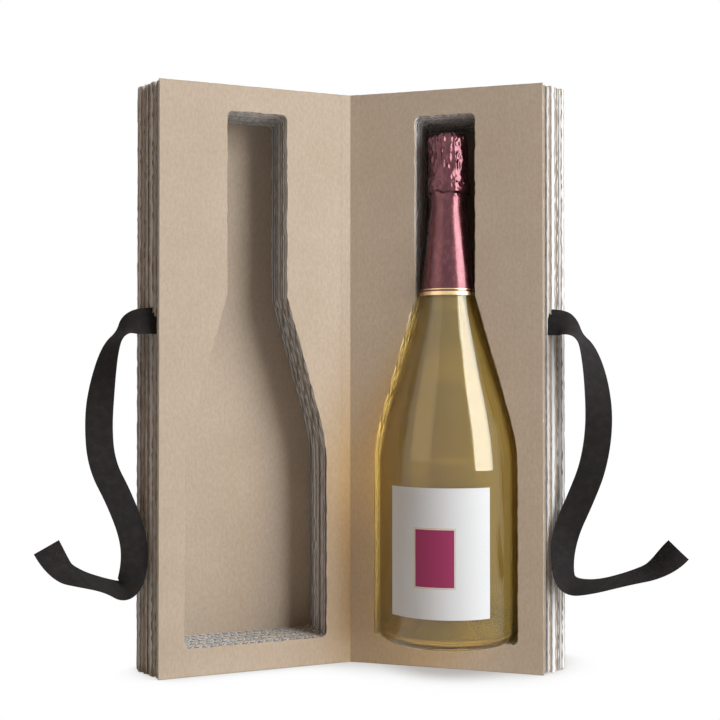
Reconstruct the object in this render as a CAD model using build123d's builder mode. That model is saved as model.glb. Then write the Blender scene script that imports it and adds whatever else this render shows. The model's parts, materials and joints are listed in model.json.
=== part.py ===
from build123d import *
from math import atan2, cos, hypot, radians, sin, tan
import os

# Bottle, measured from its own base
bottle_radius = 54.0
lip_height = 366.0
heel_round = 7.0
heel_bevel_share = 0.3
shoulder_start_share = 0.3634
shoulder_height_shares = (0.4672, 0.5956, 0.7)
shoulder_radius_shares = (0.830523, 0.415138, 0.079508)
neck_low_radius = 21.5
neck_high_radius = 13.2
collar_height = 7.0
collar_step = 1.0
collar_reach = 0.3
collar_drop = 12.0
bore_radius = 9.5
glass_thick = 4.2
punt_height = 30.0
punt_top_radius_share = 0.25
punt_edge_radius_share = 0.76
base_ring_radius_share = 0.82

# Wine, cork, wire cage, foil and label
wine_clear = 0.3
wine_level_share = 0.76
cork_plug = 32.0
cork_head_height = 20.5
cork_head_reach = 0.4
wire_radius = 0.4
wire_sides = 6
wire_count = 4
ring_sides = 24
ring_wire_size = 1.0
ring_drop = 1.5
cap_thick = 0.5
foil_thick = 0.4
foil_clear = 0.3
foil_low_share = 0.74
foil_neck_drop = 11.0
foil_bulge_reach = 2.3
foil_bulge_height = 8.0
foil_bulge_rise = 2.0
foil_slope_height = 6.0
foil_dome_inset = 4.0
foil_dome_height = 6.5
label_thick = 0.2
label_clear = 0.1
label_low = 24.0
label_height = 97.0
label_half_angle = 42.7
label_turn = 10.7

# Cut-out: the bottle's outline and a clearance, with headroom over the foil
cut_clear = 1.5
floor_clear = 1.0
headroom = 12.0
cut_shoulder_low_share = 0.4153
cut_shoulder_high_share = 0.724
cut_shoulder_round = 130.0
cut_neck_round = 8.0

# Box halves: stacks of die-cut corrugated sheets with a plain back sheet; the bottle lies deeper in the right one
side_margin = 20.35
ledge_height = 21.9
top_margin = 20.6
left_sheets = 8
right_sheets = 13
back_thick = 4.0
parting_gap = 0.3
open_angle = 144.2
straight_angle = 180.0
quarter_turn = 90.0

# The open stacks splay at their fore-edges like the leaves of a book
left_splay = 10.6
right_splay = 13.5
left_fore_shares = (0.0, 0.2, 0.4, 0.6, 0.8, 1.0, 0.96, 0.89)
right_fore_shares = (0.0, 0.25, 0.6, 0.85, 1.0, 0.96, 0.89, 0.83, 0.76, 0.7, 0.64, 0.57, 0.51)
left_back_share = 0.82
right_back_share = 0.45

# Hand-stacked sheets do not line up exactly
stagger = 1.2
top_shares = (0.0, -0.7, -0.2, -0.9, -0.4, -0.6, -0.1, -0.8, -0.3, -0.7, -0.2, -0.5, -0.1)
base_shares = (0.0, 0.5, 0.0, 0.6, 0.0, 0.3, 0.7, 0.0, 0.4, 0.0, 0.6, 0.2, 0.0)
back_top_share = 0.5
cut_stagger = 0.7
left_cut_shares = (0.0, 0.5, -0.4, 0.6, -0.5, 0.3, -0.6, 0.2)
right_cut_shares = (0.0, -0.4, 0.5, -0.5, 0.3, -0.6, 0.4, -0.2, 0.5, -0.3, 0.6, -0.5, 0.2)
ledge_drop_shares = (0.0, 0.6, 0.0, 0.8, 0.3, 0.0, 0.7, 0.2, 0.5, 0.0, 0.8, 0.4, 0.1)

# Ribbons: flat tape glued between the second and the third sheet
ribbon_width = 20.0
ribbon_thick = 0.8
ribbon_sheet = 2
ribbon_side_clear = 0.3
ribbon_height_share = 0.5966
ribbon_anchor = 42.0
ribbon_drop = 205.0
bend_share = 0.4
left_out_shares = (0.2, 0.224, 0.075, 0.424)
left_fall_shares = (0.0, 0.385, 1.0, 0.849)
right_out_shares = (0.195, 0.21, 0.07, 0.502)
right_fall_shares = (0.0, 0.376, 0.995, 0.829)

# Heights and radii of the bottle that follow from the sizes above
shoulder_start = lip_height * shoulder_start_share
cut_shoulder_low = lip_height * cut_shoulder_low_share
cut_shoulder_high = lip_height * cut_shoulder_high_share
collar_high = lip_height - collar_drop
collar_low = collar_high - collar_height
collar_radius = neck_high_radius + collar_reach
heel_bevel = heel_round * heel_bevel_share
punt_top_radius = bottle_radius * punt_top_radius_share
punt_edge_radius = bottle_radius * punt_edge_radius_share
base_ring_radius = bottle_radius * base_ring_radius_share
foil_low = lip_height * foil_low_share
neck_slope = (neck_low_radius - neck_high_radius) / (collar_low - foil_low)
shoulder_curve = tuple(
    (neck_low_radius + (bottle_radius - neck_low_radius) * radius_share, lip_height * height_share)
    for radius_share, height_share in zip(shoulder_radius_shares, shoulder_height_shares)
)
wine_level = lip_height * wine_level_share
cork_low = lip_height - cork_plug
cork_head_radius = neck_high_radius + cork_head_reach
cork_head_high = lip_height + cork_head_height
wire_circle = cork_head_radius + wire_radius
wire_ring_height = collar_low - ring_drop
foil_neck_high = collar_low - foil_neck_drop
foil_neck_radius = neck_low_radius - neck_slope * (foil_neck_high - foil_low)
foil_bulge_low = collar_low + foil_bulge_rise
foil_bulge_high = foil_bulge_low + foil_bulge_height
foil_bulge_radius = neck_high_radius + foil_bulge_reach
foil_head_low = foil_bulge_high + foil_slope_height
foil_head_radius = wire_circle + wire_radius
foil_head_high = cork_head_high + cap_thick
foil_top = foil_head_high + foil_dome_height
foil_top_radius = foil_head_radius - foil_dome_inset

# Cut-out and box sizes that follow from the bottle
cut_half_width = bottle_radius + cut_clear
cut_neck_half = neck_low_radius + cut_clear
cut_top = foil_top + headroom
sheet_thick = 2 * (bottle_radius + floor_clear) / (left_sheets + right_sheets)
half_width = 2 * (cut_half_width + side_margin)
half_height = ledge_height + cut_top + top_margin
lean = radians((straight_angle - open_angle) / 2)
face_depth = parting_gap / 2
bottle_sink = face_depth + right_sheets * sheet_thick - bottle_radius - floor_clear
cut_middle = half_width / 2


def side_reach(sheets, splay, shares, back_share):
    """How far a half reaches sideways from the fold."""
    corners = [
        (half_width + splay * share, face_depth + (index + 1) * sheet_thick) for index, share in enumerate(shares)
    ]
    corners.append((half_width + splay * back_share, face_depth + sheets * sheet_thick + back_thick))
    return max(out * cos(lean) + depth * sin(lean) for out, depth in corners)


left_reach = side_reach(left_sheets, left_splay, left_fore_shares, left_back_share)
right_reach = side_reach(right_sheets, right_splay, right_fore_shares, right_back_share)
right_depth = face_depth + right_sheets * sheet_thick + back_thick
bottle_rise = bottle_sink * cos(lean) - cut_middle * sin(lean)
front_reach = bottle_radius + label_clear + label_thick - bottle_rise
back_reach = right_depth * cos(lean) - face_depth * sin(lean)
fold_x = (left_reach - right_reach) / 2
fold_y = (front_reach - back_reach) / 2
bottle_x = fold_x + cut_middle * cos(lean) + bottle_sink * sin(lean)
bottle_y = fold_y + bottle_rise
bottle_axis = Axis((bottle_x, bottle_y, 0), (0, 0, 1))
bottle_plane = Plane(origin=(bottle_x, bottle_y, ledge_height), x_dir=(1, 0, 0), z_dir=(0, -1, 0))
ribbon_height = half_height * ribbon_height_share
pocket_depth = face_depth + ribbon_sheet * sheet_thick - ribbon_thick


def half_plane(side):
    """Plane of a half's inner face: X runs from the fold to the fore-edge, Y is up."""
    return Plane(
        origin=(fold_x, fold_y, 0),
        x_dir=(side * cos(lean), -sin(lean), 0),
        z_dir=(-sin(lean), -side * cos(lean), 0),
    )


def bend_radii(points):
    """Radius of each bend of a route: a share of the shorter run beside it."""
    radii = []
    for before, here, after in zip(points, points[1:], points[2:]):
        run_in = (here[0] - before[0], here[1] - before[1])
        run_out = (after[0] - here[0], after[1] - here[1])
        cross = run_in[0] * run_out[1] - run_in[1] * run_out[0]
        dot = run_in[0] * run_out[0] + run_in[1] * run_out[1]
        turn = abs(atan2(cross, dot))
        radii.append(bend_share * min(hypot(*run_in), hypot(*run_out)) / tan(turn / 2))
    return radii


os.makedirs("parts", exist_ok=True)

# Cut-out sheets, back sheet and ribbon of each half
for name, side, sheets, splay, fore_shares, back_share, cut_shares, out_shares, fall_shares in (
    (
        "left", -1, left_sheets, left_splay, left_fore_shares, left_back_share,
        left_cut_shares, left_out_shares, left_fall_shares,
    ),
    (
        "right", 1, right_sheets, right_splay, right_fore_shares, right_back_share,
        right_cut_shares, right_out_shares, right_fall_shares,
    ),
):
    face = half_plane(side)
    into = -side
    for index in range(sheets):
        near = face_depth + index * sheet_thick
        fore = half_width + splay * fore_shares[index]
        low = stagger * base_shares[index]
        high = half_height + stagger * top_shares[index]
        middle = cut_middle + cut_stagger * cut_shares[index]
        ledge = ledge_height - cut_stagger * ledge_drop_shares[index]
        with BuildPart() as sheet:
            with BuildSketch(face.offset(into * near)):
                with BuildLine():
                    Polyline((face_depth, low), (fore, low), (fore, high), (face_depth, high), close=True)
                make_face()
                with BuildLine():
                    FilletPolyline(
                        (middle - cut_half_width, ledge),
                        (middle + cut_half_width, ledge),
                        (middle + cut_half_width, ledge + cut_shoulder_low),
                        (middle + cut_neck_half, ledge + cut_shoulder_high),
                        (middle + cut_neck_half, ledge + cut_top),
                        (middle - cut_neck_half, ledge + cut_top),
                        (middle - cut_neck_half, ledge + cut_shoulder_high),
                        (middle - cut_half_width, ledge + cut_shoulder_low),
                        radius=[0, 0, cut_shoulder_round, cut_neck_round, 0, 0, cut_neck_round, cut_shoulder_round],
                        close=True,
                    )
                make_face(mode=Mode.SUBTRACT)
            extrude(amount=into * sheet_thick)
            # The sheet in front of a ribbon is pressed in by its glued end
            if index + 1 == ribbon_sheet:
                with BuildSketch(face.offset(into * pocket_depth)):
                    with Locations((half_width, ribbon_height)):
                        Rectangle(
                            2 * (ribbon_anchor + ribbon_side_clear),
                            ribbon_width + 2 * ribbon_side_clear,
                        )
                extrude(amount=into * ribbon_thick, mode=Mode.SUBTRACT)
        sheet_name = f"{name}_sheet_{index + 1}" if index else f"{name}_facing_sheet"
        sheet.part.label = sheet_name
        export_step(sheet.part, f"parts/{sheet_name}.step")

    with BuildPart() as back:
        with BuildSketch(face.offset(into * (face_depth + sheets * sheet_thick))):
            with BuildLine():
                back_high = half_height + stagger * back_top_share
                back_fore = half_width + splay * back_share
                Polyline((face_depth, 0), (back_fore, 0), (back_fore, back_high), (face_depth, back_high), close=True)
            make_face()
        extrude(amount=into * back_thick)
    back.part.label = f"{name}_back_sheet"
    export_step(back.part, f"parts/{name}_back_sheet.step")

    route = [(half_width - ribbon_anchor, ribbon_height)]
    for out_share, fall_share in zip(out_shares, fall_shares):
        route.append((half_width + ribbon_drop * out_share, ribbon_height - ribbon_drop * fall_share))
    radii = bend_radii(route)
    with BuildPart() as ribbon:
        with BuildSketch(face.offset(into * pocket_depth)):
            with BuildLine() as ribbon_line:
                FilletPolyline(*route, radius=radii)
            trace(line_width=ribbon_width)
        extrude(amount=into * ribbon_thick)
    ribbon.part.label = f"{name}_ribbon"
    export_step(ribbon.part, f"parts/{name}_ribbon.step")
    print(f"{name}_ribbon length", round(ribbon_line.wire().length, 1), "bends", [round(r, 1) for r in radii])

# Bottle glass: hollow, with a punt, a rounded shoulder and a collar under the lip
with BuildPart() as glass:
    with BuildSketch(bottle_plane):
        with BuildLine():
            Polyline(
                (0, punt_height),
                (punt_top_radius, punt_height),
                (punt_edge_radius, 0),
                (bottle_radius - heel_round, 0),
                (bottle_radius - heel_bevel, heel_bevel),
                (bottle_radius, heel_round),
                (bottle_radius, shoulder_start),
                *shoulder_curve,
                (neck_low_radius, foil_low),
                (neck_high_radius, collar_low),
                (collar_radius, collar_low + collar_step),
                (collar_radius, collar_high),
                (neck_high_radius, lip_height),
                (bore_radius, lip_height),
                (bore_radius, collar_low),
                (neck_low_radius - glass_thick, foil_low),
                (bottle_radius - glass_thick, shoulder_start),
                (bottle_radius - glass_thick, heel_round),
                (base_ring_radius, glass_thick),
                (punt_edge_radius, glass_thick),
                (punt_top_radius, punt_height + glass_thick),
                (0, punt_height + glass_thick),
                close=True,
            )
        make_face()
    revolve(axis=bottle_axis)
glass.part.label = "bottle_glass"
export_step(glass.part, "parts/bottle_glass.step")

# Wine: fills the glass up into the neck, under the foil
wall = glass_thick + wine_clear
wine_neck_radius = neck_low_radius - wall
wine_slope = (neck_low_radius - glass_thick - bore_radius) / (collar_low - foil_low)
wine_high_radius = wine_neck_radius - wine_slope * (wine_level - foil_low)
with BuildPart() as wine:
    with BuildSketch(bottle_plane):
        with BuildLine():
            Polyline(
                (0, punt_height + wall),
                (punt_top_radius, punt_height + wall),
                (punt_edge_radius, wall),
                (base_ring_radius, wall),
                (bottle_radius - wall, heel_round + wine_clear),
                (bottle_radius - wall, shoulder_start),
                (wine_neck_radius, foil_low),
                (wine_high_radius, wine_level),
                (0, wine_level),
                close=True,
            )
        make_face()
    revolve(axis=bottle_axis)
wine.part.label = "wine"
export_step(wine.part, "parts/wine.step")

# Cork: a plug in the bore and a mushroom head over the lip
with BuildPart() as cork:
    with BuildSketch(bottle_plane):
        with BuildLine():
            Polyline(
                (0, cork_low),
                (bore_radius, cork_low),
                (bore_radius, lip_height),
                (cork_head_radius, lip_height),
                (cork_head_radius, cork_head_high),
                (0, cork_head_high),
                close=True,
            )
        make_face()
    revolve(axis=bottle_axis)
cork.part.label = "cork"
export_step(cork.part, "parts/cork.step")

# Wire cage: a bent ring under the collar, upright wires and a cap plate on the cork
with BuildPart() as cage:
    with BuildSketch(Plane((bottle_x, bottle_y, ledge_height + wire_ring_height))):
        RegularPolygon(wire_circle + ring_wire_size / 2, ring_sides, major_radius=False)
        RegularPolygon(wire_circle - ring_wire_size / 2, ring_sides, major_radius=False, mode=Mode.SUBTRACT)
    extrude(amount=-ring_wire_size)
    with BuildSketch(Plane((bottle_x, bottle_y, ledge_height + wire_ring_height - ring_wire_size / 2))):
        with PolarLocations(wire_circle, wire_count):
            RegularPolygon(wire_radius, wire_sides)
    extrude(amount=cork_head_high + cap_thick / 2 - wire_ring_height + ring_wire_size / 2)
    with BuildSketch(Plane((bottle_x, bottle_y, ledge_height + cork_head_high))):
        RegularPolygon(wire_circle, ring_sides)
    extrude(amount=cap_thick)
cage.part.label = "wire_cage"
export_step(cage.part, "parts/wire_cage.step")

# Foil: sleeve on the neck, a bulge over the cage ring, and a domed head over the cork
foil_outline = (
    (neck_low_radius + foil_clear, foil_low),
    (foil_neck_radius + foil_clear, foil_neck_high),
    (foil_bulge_radius, foil_bulge_low),
    (foil_bulge_radius, foil_bulge_high),
    (foil_head_radius, foil_head_low),
    (foil_head_radius, foil_head_high),
    (foil_top_radius, foil_top),
)
with BuildPart() as foil:
    with BuildSketch(bottle_plane):
        with BuildLine():
            Polyline(
                *[(radius + foil_thick, height) for radius, height in foil_outline],
                (0, foil_top),
                (0, foil_top - foil_thick),
                (foil_top_radius, foil_top - foil_thick),
                *reversed(foil_outline[:-1]),
                close=True,
            )
        make_face()
    revolve(axis=bottle_axis)
foil.part.label = "foil_capsule"
export_step(foil.part, "parts/foil_capsule.step")

# Front label: a paper patch wrapped on the body, turned a little from square
label_reach = 2 * bottle_radius
label_left = radians(-quarter_turn - label_turn - label_half_angle)
label_right = radians(-quarter_turn - label_turn + label_half_angle)
with BuildPart() as label:
    with BuildSketch(Plane((bottle_x, bottle_y, ledge_height + label_low))):
        with BuildLine():
            Polyline(
                (0, 0),
                (label_reach * cos(label_left), label_reach * sin(label_left)),
                (label_reach * cos(label_right), label_reach * sin(label_right)),
                close=True,
            )
        make_face()
        Circle(bottle_radius + label_clear + label_thick, mode=Mode.INTERSECT)
        Circle(bottle_radius + label_clear, mode=Mode.SUBTRACT)
    extrude(amount=label_height)
label.part.label = "front_label"
export_step(label.part, "parts/front_label.step")
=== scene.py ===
"""Looks of a bottle gift box: two hinged stacks of corrugated board, a bottle and two tape ribbons."""

import json
import logging
import math
import random
from collections.abc import Iterator, Sequence
from contextlib import contextmanager
from dataclasses import dataclass, field
from enum import Enum

import bpy
from mathutils import Matrix, Vector, noise
from mathutils.bvhtree import BVHTree
from mathutils.geometry import interpolate_bezier


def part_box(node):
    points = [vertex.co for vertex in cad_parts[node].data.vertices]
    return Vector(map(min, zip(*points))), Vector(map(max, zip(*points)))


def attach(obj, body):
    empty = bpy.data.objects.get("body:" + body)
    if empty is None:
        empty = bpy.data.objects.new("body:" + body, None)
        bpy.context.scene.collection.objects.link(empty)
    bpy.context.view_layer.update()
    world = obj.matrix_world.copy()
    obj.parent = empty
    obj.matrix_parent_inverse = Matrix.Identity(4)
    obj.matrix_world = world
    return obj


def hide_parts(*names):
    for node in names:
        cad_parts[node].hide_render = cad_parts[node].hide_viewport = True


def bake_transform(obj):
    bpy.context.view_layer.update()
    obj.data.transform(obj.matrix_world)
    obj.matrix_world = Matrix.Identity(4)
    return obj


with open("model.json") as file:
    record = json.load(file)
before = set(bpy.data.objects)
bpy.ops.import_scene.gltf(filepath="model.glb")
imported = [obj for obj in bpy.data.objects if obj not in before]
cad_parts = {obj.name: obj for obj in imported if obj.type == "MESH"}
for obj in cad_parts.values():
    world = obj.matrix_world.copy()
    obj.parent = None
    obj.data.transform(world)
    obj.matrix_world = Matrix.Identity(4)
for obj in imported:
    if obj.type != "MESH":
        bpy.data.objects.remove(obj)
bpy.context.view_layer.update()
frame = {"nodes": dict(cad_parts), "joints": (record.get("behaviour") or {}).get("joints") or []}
LOG = logging.getLogger("bottle_gift_box")
MM = 0.001
IMAGE_SIDE = 720
BOARD_COORDINATES = "board"

Point2 = tuple[float, float]
Colour = tuple[float, float, float, float]


class Side(Enum):
    """The two halves of the open box, as the viewer sees them."""

    LEFT = -1
    RIGHT = 1

    @property
    def body(self) -> str:
        """Name of the half's body in the frame."""
        return f"{self.name.lower()}_half"

    @property
    def prefix(self) -> str:
        """Start of the half's node names."""
        return self.name.lower()


class Part(Enum):
    """Material slots of a corrugated sheet."""

    LINER = 0
    FLUTE = 1
    CUT = 2
    BURR = 3
    END = 4


def deselect_all() -> None:
    """Leaves nothing selected."""
    for obj in bpy.context.selected_objects:
        obj.select_set(False)


def activate(obj: bpy.types.Object) -> None:
    """Makes one object the only selected and active one.

    Args:
        obj: The object.
    """
    deselect_all()
    obj.select_set(True)
    bpy.context.view_layer.objects.active = obj


@contextmanager
def editing(obj: bpy.types.Object) -> Iterator[None]:
    """Opens an object in edit mode with all of its mesh selected.

    Args:
        obj: The object to edit.

    Yields:
        Nothing, while the object is open.
    """
    activate(obj)
    bpy.ops.object.mode_set(mode="EDIT")
    bpy.ops.mesh.select_all(action="SELECT")
    yield
    bpy.ops.object.mode_set(mode="OBJECT")


def mesh_object(name: str, points: Sequence, edges: Sequence = (), faces: Sequence = ()) -> bpy.types.Object:
    """Adds a mesh object at the origin.

    Args:
        name: Name of the object and its mesh.
        points: Vertex positions in metres.
        edges: Pairs of vertex numbers.
        faces: Tuples of vertex numbers.

    Returns:
        The new object, linked to the scene.
    """
    mesh = bpy.data.meshes.new(name)
    mesh.from_pydata([tuple(p) for p in points], list(edges), list(faces))
    mesh.update()
    obj = bpy.data.objects.new(name, mesh)
    bpy.context.scene.collection.objects.link(obj)
    return obj


def apply_modifier(obj: bpy.types.Object, kind: str, **settings: object) -> None:
    """Adds a modifier with the given settings and applies it.

    Args:
        obj: The object to change.
        kind: Type of the modifier.
        settings: Values of the modifier's properties.
    """
    modifier = obj.modifiers.new(kind.lower(), kind)
    for name, value in settings.items():
        setattr(modifier, name, value)
    activate(obj)
    bpy.ops.object.modifier_apply(modifier=modifier.name)


def grid_faces(rows: int, columns: int, first: int = 0) -> list[tuple[int, int, int, int]]:
    """Faces of a grid of points.

    Args:
        rows: Number of rows of points.
        columns: Points in a row.
        first: Vertex number of the grid's first point.

    Returns:
        The faces as vertex numbers, row by row.
    """
    corners = [first + row * columns + column for row in range(rows - 1) for column in range(columns - 1)]
    return [(corner, corner + 1, corner + columns + 1, corner + columns) for corner in corners]


def clamped(value: float) -> float:
    """Keeps a value between 0 and 1."""
    return min(max(value, 0.0), 1.0)


def join(name: str, pieces: Sequence[bpy.types.Object]) -> bpy.types.Object:
    """Joins mesh objects into one.

    Args:
        name: Name of the joined object.
        pieces: The objects; the first one keeps its material slots.

    Returns:
        The joined object.
    """
    activate(pieces[0])
    for piece in pieces[1:]:
        piece.select_set(True)
    bpy.ops.object.join()
    joined = bpy.context.view_layer.objects.active
    joined.name = name
    joined.data.name = name
    return joined


def smooth(obj: bpy.types.Object, degrees: float) -> None:
    """Shades a mesh smooth up to an angle between faces."""
    activate(obj)
    bpy.ops.object.shade_smooth_by_angle(angle=math.radians(degrees))


def rounded(points: Sequence[Point2], radii: Sequence[float], closed: bool, step: float = 0.12) -> list[Point2]:
    """Replaces the corners of a line by arcs.

    Args:
        points: Corners of the line.
        radii: Radius at each corner, zero for a sharp one; the ends of an open line stay as they are.
        closed: Whether the last point joins the first one.
        step: Turn between neighbouring arc points, in radians.

    Returns:
        The line with its arcs as points.
    """
    line: list[Point2] = []
    count = len(points)
    for index, (corner, radius) in enumerate(zip(points, radii)):
        here = Vector(corner)
        if not radius or (not closed and index in (0, count - 1)):
            line.append(corner)
            continue
        arrive = (here - Vector(points[index - 1])).normalized()
        leave = (Vector(points[(index + 1) % count]) - here).normalized()
        turn = math.atan2(arrive.x * leave.y - arrive.y * leave.x, arrive.dot(leave))
        start = here - arrive * radius * math.tan(abs(turn) / 2)
        left = math.copysign(1, turn)
        centre = start + Vector((-arrive.y, arrive.x)) * radius * left
        spoke = start - centre
        steps = max(2, math.ceil(abs(turn) / step))
        for number in range(steps + 1):
            angle = turn * number / steps
            along = Vector((
                spoke.x * math.cos(angle) - spoke.y * math.sin(angle),
                spoke.x * math.sin(angle) + spoke.y * math.cos(angle),
            ))
            line.append(tuple(centre + along))
    return line


def flowing(points: Sequence[Point2], first: Point2, last: Point2, pieces: int = 9) -> list[Point2]:
    """Draws a smooth line through points.

    Args:
        points: The points to pass.
        first: Direction of the line at its start.
        last: Direction of the line at its end.
        pieces: Steps between neighbouring points.

    Returns:
        The points of the line.
    """
    places = [Vector(point) for point in points]
    inner = [(after - before).normalized() for before, after in zip(places, places[2:])]
    slopes = [Vector(first).normalized(), *inner, Vector(last).normalized()]
    line: list[Point2] = []
    for here, there, leave, arrive in zip(places, places[1:], slopes, slopes[1:]):
        reach = (there - here).length / 3
        run = interpolate_bezier(here, here + leave * reach, there - arrive * reach, there, pieces + 1)
        line += [tuple(point) for point in run[:-1]]
    return line + [tuple(places[-1])]


def ragged(outline: Sequence[Point2], step: float, amount: float, rng: random.Random) -> list[Point2]:
    """Roughens a closed outline as a blunt die leaves it.

    Args:
        outline: Points of the closed outline.
        step: Distance between the new points along it.
        amount: Largest move across the edge.
        rng: Source of the moves.

    Returns:
        The roughened outline.
    """
    line: list[Point2] = []
    for index, corner in enumerate(outline):
        here, there = Vector(corner), Vector(outline[(index + 1) % len(outline)])
        run = there - here
        if run.length < 1e-7:
            continue
        across = Vector((-run.y, run.x)).normalized()
        pieces = max(1, round(run.length / step))
        for number in range(pieces):
            move = across * rng.uniform(-amount, amount) if number else Vector((0, 0))
            line.append(tuple(here + run * number / pieces + move))
    return line


def nurbs_points(route: Sequence[Sequence[float]], resolution: int = 12) -> list[Vector]:
    """Points of the smooth line that a route's NURBS spline draws.

    Args:
        route: Control points, three numbers each.
        resolution: Points per control point.

    Returns:
        The points of the line, from the first control point to the last.
    """
    curve = bpy.data.curves.new("route", "CURVE")
    curve.dimensions = "3D"
    curve.resolution_u = resolution
    spline = curve.splines.new("NURBS")
    spline.points.add(len(route) - 1)
    for point, place in zip(spline.points, route):
        point.co = (*place, 1.0)
    spline.order_u = 3
    spline.use_endpoint_u = True
    holder = bpy.data.objects.new("route", curve)
    mesh = bpy.data.meshes.new_from_object(holder)
    line = [vertex.co.copy() for vertex in mesh.vertices]
    bpy.data.objects.remove(holder)
    bpy.data.curves.remove(curve)
    bpy.data.meshes.remove(mesh)
    return line


class Wiring:
    """Places and wires the nodes of one material or group."""

    def __init__(self, tree: bpy.types.NodeTree) -> None:
        """Keeps the tree to work on."""
        self.tree = tree

    def put(self, socket: bpy.types.NodeSocket, value: object) -> None:
        """Sets a socket to a value, or links it to another socket.

        Args:
            socket: The input socket.
            value: A constant, or the output socket to link.
        """
        if isinstance(value, bpy.types.NodeSocket):
            self.tree.links.new(value, socket)
        else:
            socket.default_value = value

    def node(self, kind: str, inputs: dict | None = None, **settings: object) -> bpy.types.Node:
        """Adds a node.

        Args:
            kind: Node type without the ShaderNode prefix, or a full type name.
            inputs: Values or sockets by input name or number.
            settings: Values of the node's properties.

        Returns:
            The new node.
        """
        new = self.tree.nodes.new(kind if kind.startswith("Node") else f"ShaderNode{kind}")
        for name, value in settings.items():
            setattr(new, name, value)
        for name, value in (inputs or {}).items():
            self.put(new.inputs[name], value)
        return new

    def mix(self, factor: object, first: object, second: object, blend: str = "MIX") -> bpy.types.NodeSocket:
        """Mixes two colours and returns the colour socket."""
        new = self.node("Mix", {0: factor, 6: first, 7: second}, data_type="RGBA", blend_type=blend)
        return new.outputs[2]

    def math(self, operation: str, first: object, second: object = 0.0) -> bpy.types.NodeSocket:
        """Combines two numbers and returns the result's socket."""
        return self.node("Math", {0: first, 1: second}, operation=operation).outputs[0]

    def steps(self, value: object, low: float, high: float) -> bpy.types.NodeSocket:
        """Maps a value from low..high to 0..1 with soft ends."""
        ends = {"Value": value, "From Min": low, "From Max": high}
        new = self.node("MapRange", ends, interpolation_type="SMOOTHSTEP")
        return new.outputs["Result"]

    def noise(self, vector: object, scale: object, detail: float = 3.0, rough: float = 0.5) -> bpy.types.NodeSocket:
        """Adds a noise texture and returns its value socket."""
        new = self.node("TexNoise", {"Vector": vector, "Scale": scale, "Detail": detail, "Roughness": rough})
        return new.outputs["Fac"]

    def stretched(self, vector: object, scale: Sequence[float]) -> bpy.types.NodeSocket:
        """Scales a vector along its axes and returns it."""
        return self.node("Mapping", {"Vector": vector, "Scale": scale}).outputs["Vector"]


def new_material(name: str) -> tuple[bpy.types.Material, Wiring, bpy.types.Node]:
    """Starts a material.

    Args:
        name: Name of the material.

    Returns:
        The material, its wiring and its Principled shader.
    """
    material = bpy.data.materials.new(name)
    material.use_nodes = True
    wiring = Wiring(material.node_tree)
    return material, wiring, material.node_tree.nodes["Principled BSDF"]


def new_group(name: str, inputs: dict[str, str], outputs: dict[str, str]) -> tuple[bpy.types.NodeTree, Wiring]:
    """Starts a shader node group.

    Args:
        name: Name of the group.
        inputs: Socket kind by input name.
        outputs: Socket kind by output name.

    Returns:
        The group and its wiring.
    """
    tree = bpy.data.node_groups.new(name, "ShaderNodeTree")
    for direction, sockets in (("INPUT", inputs), ("OUTPUT", outputs)):
        for socket, kind in sockets.items():
            tree.interface.new_socket(name=socket, in_out=direction, socket_type=f"NodeSocket{kind}")
    return tree, Wiring(tree)


@dataclass(frozen=True)
class Flute:
    """The wave layer of corrugated board."""

    pitch: float
    paper: float


SHEET_FLUTE = Flute(pitch=6.2 * MM, paper=0.42 * MM)
BACK_FLUTE = Flute(pitch=5.6 * MM, paper=0.30 * MM)


@dataclass(frozen=True)
class PaperFibre:
    """Cloudy tone, specks and tooth of brown paper, as a node group."""

    name: str = "paper_fibre"
    cloud_scale: float = 22.0
    fibre_scale: float = 520.0
    speck_scale: float = 900.0
    fibre_stretch: tuple[float, float, float] = (1.0, 1.0, 0.45)

    def group(self) -> bpy.types.NodeTree:
        """Builds the group where it isn't built yet.

        Returns:
            The group.
        """
        known = bpy.data.node_groups.get(self.name)
        if known:
            return known
        tree, wiring = new_group(
            self.name, {"Vector": "Vector"}, {"Cloud": "Float", "Speck": "Float", "Height": "Float"}
        )
        place = wiring.node("NodeGroupInput").outputs["Vector"]
        out = wiring.node("NodeGroupOutput")
        along = wiring.stretched(place, self.fibre_stretch)
        cloud = wiring.noise(place, self.cloud_scale, 5.0, 0.6)
        fibre = wiring.noise(along, self.fibre_scale, 4.0, 0.7)
        speck = wiring.noise(along, self.speck_scale, 2.0, 0.5)
        wiring.put(out.inputs["Cloud"], wiring.steps(cloud, 0.3, 0.72))
        wiring.put(out.inputs["Speck"], wiring.steps(speck, 0.60, 0.76))
        wiring.put(out.inputs["Height"], fibre)
        return tree


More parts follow.
